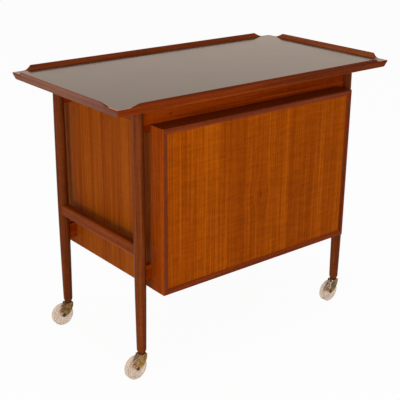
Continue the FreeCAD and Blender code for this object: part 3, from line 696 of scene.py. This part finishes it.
# a rivet: half an ellipse for each head, and the shank between them
def rivetOutline():
    dome = np.linspace(0, np.pi / 2, 10)
    head = np.stack([caster["rivet"] * np.sin(dome),
                     caster["forkOut"] + caster["rivetHeight"] * np.cos(dome)], axis=-1)
    half = np.concatenate([head, [[caster["shank"], caster["forkOut"]]]])
    return np.concatenate([half, half[::-1] * (1, -1)])


for corner in corners:
    swivel = Matrix.Rotation(math.radians(caster["turns"][corner]), 4, "Z")
    toAxle = Matrix.Translation((-caster["trail"] * mm, 0, caster["wheel"] * mm))
    onAxle = legPlace(corner) @ swivel @ toAxle @ Matrix.Rotation(math.radians(-90), 4, "X")
    ring = turnedGrid(wheelOutline(), caster["around"])
    wheel = surfacePiece("moulded_wheel_" + corner, moved(ring * mm, onAxle), "ring", plastic,
                         "roller_" + corner, radius=np.hypot(ring[..., 0], ring[..., 1]))
    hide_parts("wheel_" + corner)
    pin = turnedGrid(rivetOutline(), caster["rivetAround"])
    rivet = surfacePiece("rivet_" + corner, moved(pin * mm, onAxle), "open", darkSteel,
                         "swivel_" + corner)
    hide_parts("caster_axle_" + corner)
    easedCopy("caster_fork_" + corner, brass[corner], "swivel_" + corner, width=0.35)
    easedCopy("caster_sleeve_" + corner, darkSteel, "trolley_frame", width=0.3)
    easedCopy("wheel_bush_" + corner, bushSteel, "roller_" + corner, width=0.25)
print("casters done")


# metres, degrees and watts. floorShare is how much of the floor's white shows where it is seen,
# and the rest is what falls on it
studio = {"floor": 6.0, "floorColour": "#f4f4f4", "floorShare": 0.95, "ambient": 0.42,
          "reflected": "#ffeddd", "camera": (-1.3555, -1.6483, 1.1262),
          "aim": (0.01002, 0.03545, 0.3029), "roll": 0.5, "lens": 79.52, "sensor": 36,
          "lampAim": (0, 0, 0.4)}
lamps = {"left soft box": {"place": (-2.5, -1.25, 0.72), "size": (1.1, 1.2), "power": 37},
         "front soft box": {"place": (-0.55, -2.75, 1.3), "size": (1.7, 1.5), "power": 21},
         "top soft box": {"place": (-0.2, 0.2, 2.9), "size": (2.2, 1.8), "power": 22}}
white = (1, 1, 1, 1)


# 1 for rays that the camera sees straight, in a reflection or through clear plastic
def seenRays(tree, rays):
    seen = addNode(tree, "ShaderNodeMath", {
        0: rays.outputs["Is Camera Ray"], 1: rays.outputs["Is Glossy Ray"]}, operation="MAXIMUM")
    return addNode(tree, "ShaderNodeMath", {
        0: seen.outputs[0], 1: rays.outputs["Is Transmission Ray"]}, operation="MAXIMUM").outputs[0]


# white paper where it is seen, which keeps the trolley's soft shadow
def studioFloor():
    material, tree = newMaterial("paperFloor")
    diffuse = addNode(tree, "ShaderNodeBsdfDiffuse", {"Color": linear(studio["floorColour"])})
    glow = addNode(tree, "ShaderNodeEmission", {"Color": white, "Strength": 1.0})
    seen = seenRays(tree, addNode(tree, "ShaderNodeLightPath"))
    share = addNode(tree, "ShaderNodeMath", {0: seen, 1: studio["floorShare"]},
                    operation="MULTIPLY").outputs[0]
    mix = addNode(tree, "ShaderNodeMixShader", {
        0: share, 1: diffuse.outputs[0], 2: glow.outputs[0]})
    addNode(tree, "ShaderNodeOutputMaterial", {"Surface": mix.outputs[0]})
    mesh = bpy.data.meshes.new("floor")
    half = studio["floor"]
    plan = [(-half, -half, 0), (half, -half, 0), (half, half, 0), (-half, half, 0)]
    mesh.from_pydata(plan, [], [(0, 1, 2, 3)])
    mesh.materials.append(material)
    floor = bpy.data.objects.new("floor", mesh)
    bpy.context.scene.collection.objects.link(floor)


# plain even light, and white where it is seen, a little warm in reflections
def studioWorld():
    world = bpy.data.worlds.new("studio")
    world.use_nodes = True
    tree = world.node_tree
    tree.nodes.clear()
    rays = addNode(tree, "ShaderNodeLightPath")
    backdrop = addNode(tree, "ShaderNodeMix", {
        0: rays.outputs["Is Glossy Ray"], 6: white, 7: linear(studio["reflected"])},
        data_type="RGBA").outputs[2]
    plain = addNode(tree, "ShaderNodeBackground", {"Color": white, "Strength": studio["ambient"]})
    paper = addNode(tree, "ShaderNodeBackground", {"Color": backdrop, "Strength": 1.0})
    mix = addNode(tree, "ShaderNodeMixShader", {
        0: seenRays(tree, rays), 1: plain.outputs[0], 2: paper.outputs[0]})
    addNode(tree, "ShaderNodeOutputWorld", {"Surface": mix.outputs[0]})
    bpy.context.scene.world = world


# a soft rectangular lamp that looks at the middle of the trolley
def softBox(name, place, size, power):
    light = bpy.data.lights.new(name, "AREA")
    light.shape = "RECTANGLE"
    light.size, light.size_y = size
    light.energy = power
    lamp = bpy.data.objects.new(name, light)
    lamp.location = place
    way = Vector(studio["lampAim"]) - Vector(place)
    lamp.rotation_euler = way.to_track_quat("-Z", "Y").to_euler()
    bpy.context.scene.collection.objects.link(lamp)


# looks from its place at the aim, then rolls about its own axis
def studioCamera():
    data = bpy.data.cameras.new("camera")
    data.lens = studio["lens"]
    data.sensor_width = studio["sensor"]
    data.sensor_fit = "HORIZONTAL"
    camera = bpy.data.objects.new("camera", data)
    camera.location = studio["camera"]
    look = (Vector(studio["aim"]) - Vector(studio["camera"])).to_track_quat("-Z", "Y")
    roll = Matrix.Rotation(math.radians(studio["roll"]), 3, "Z")
    camera.rotation_euler = (look.to_matrix() @ roll).to_euler()
    bpy.context.scene.collection.objects.link(camera)
    bpy.context.scene.camera = camera


studioFloor()
studioWorld()
for name, lamp in lamps.items():
    softBox(name, **lamp)
studioCamera()
bpy.context.scene.view_settings.view_transform = "Standard"
print("studio done")
